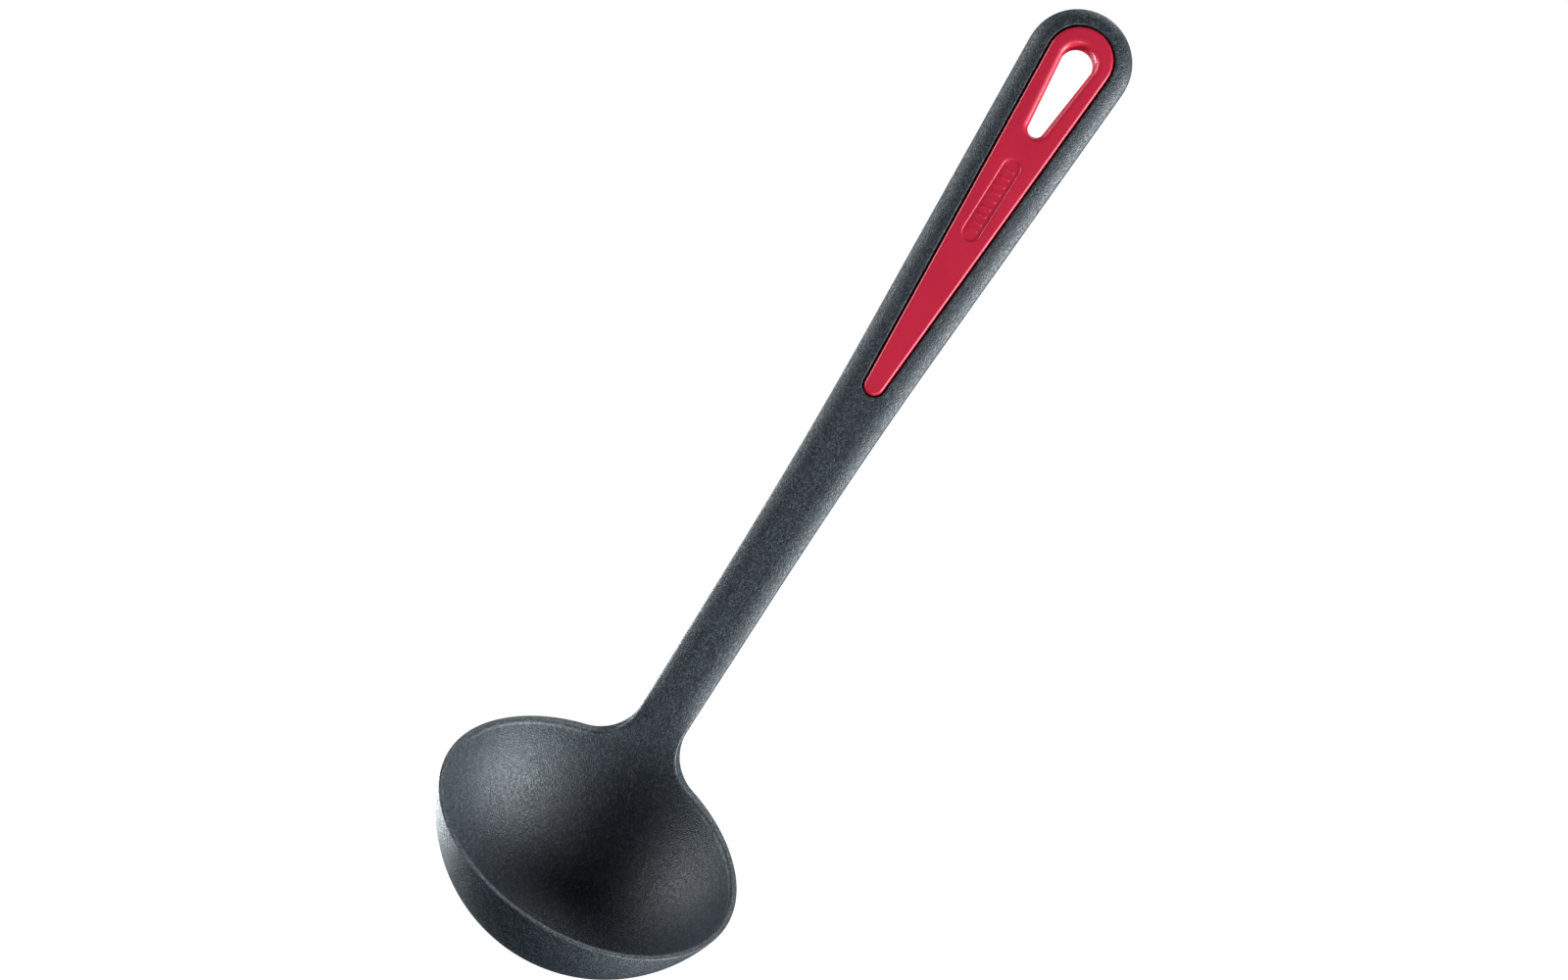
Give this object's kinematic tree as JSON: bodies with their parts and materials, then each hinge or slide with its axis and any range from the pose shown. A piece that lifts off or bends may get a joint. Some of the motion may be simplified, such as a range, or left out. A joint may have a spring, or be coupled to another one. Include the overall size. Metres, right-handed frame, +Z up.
{
  "type": "soup ladle",
  "caption": "Moulded nylon soup ladle with a round bowl, a long flat handle and a coloured insert that lines the hanging eye.",
  "frame": {"origin": "middle of the footprint, on the worktop, with the ladle lying on its back", "axes": "+X from the bowl to the handle's end, +Z up out of the bowl and the handle's front face, +Y to the left when looking along +X"},
  "size_m": [0.3216, 0.092, 0.0787],
  "materials": {
    "moulding": "dark slate glass-filled nylon with a fine spark-eroded grain",
    "insert": "satin red polypropylene"
  },
  "bodies": {
    "root": {"ladle_body": "moulding", "handle_insert": "insert"}
  },
  "joints": []
}
